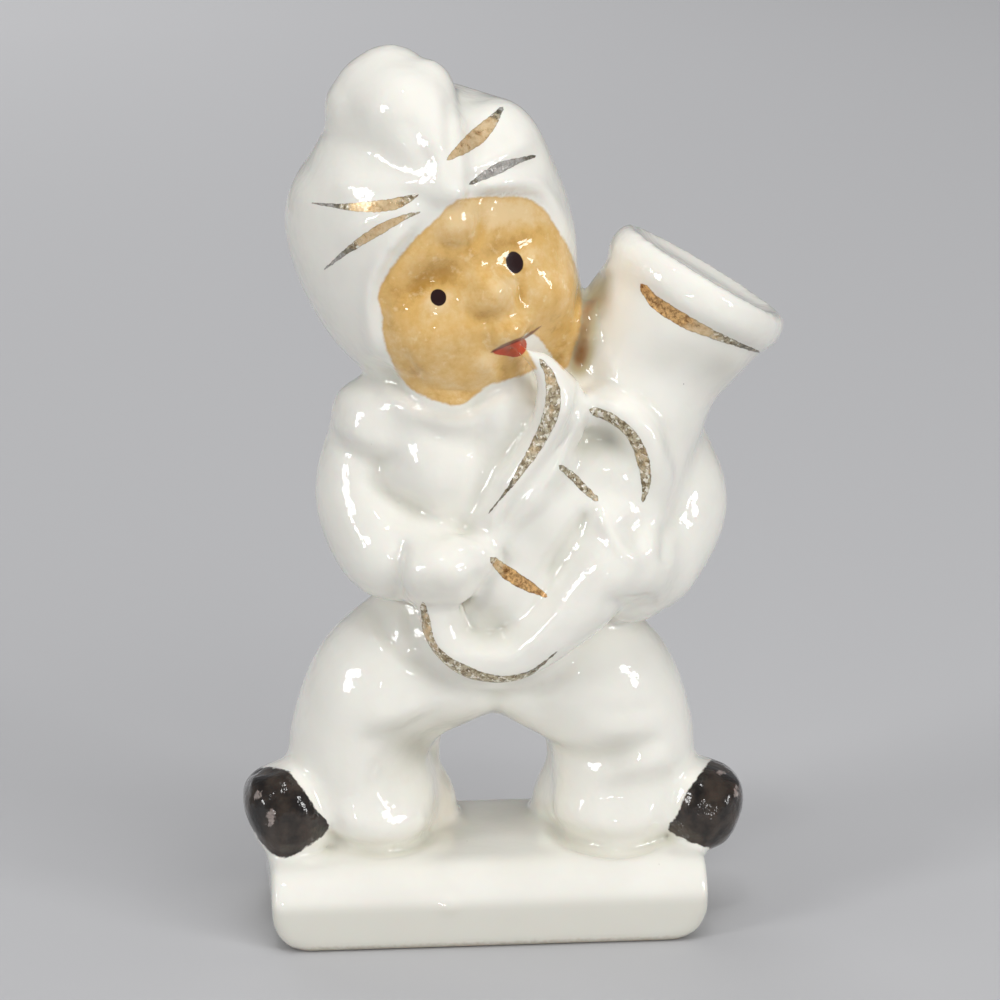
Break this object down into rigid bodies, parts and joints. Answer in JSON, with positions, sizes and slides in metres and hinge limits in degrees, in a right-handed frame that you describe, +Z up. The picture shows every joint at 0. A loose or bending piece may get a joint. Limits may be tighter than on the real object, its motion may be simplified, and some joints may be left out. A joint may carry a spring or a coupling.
{
  "type": "ceramic musician figurine",
  "caption": "Small glazed porcelain figurine of a turbaned child playing a saxophone, standing with spread legs on a bar-shaped base moulded in one piece with it.",
  "frame": {"origin": "middle of the base's flat underside", "axes": "+Z up, the figure faces -Y, +X to the viewer's right, where the horn's bell is"},
  "size_m": [0.0423, 0.0208, 0.0693],
  "materials": {
    "glazed_porcelain": "glossy clear glaze over white porcelain, with tan, black, red and worn gold painted details"
  },
  "bodies": {
    "root": {"figurine": "glazed_porcelain"}
  },
  "joints": []
}
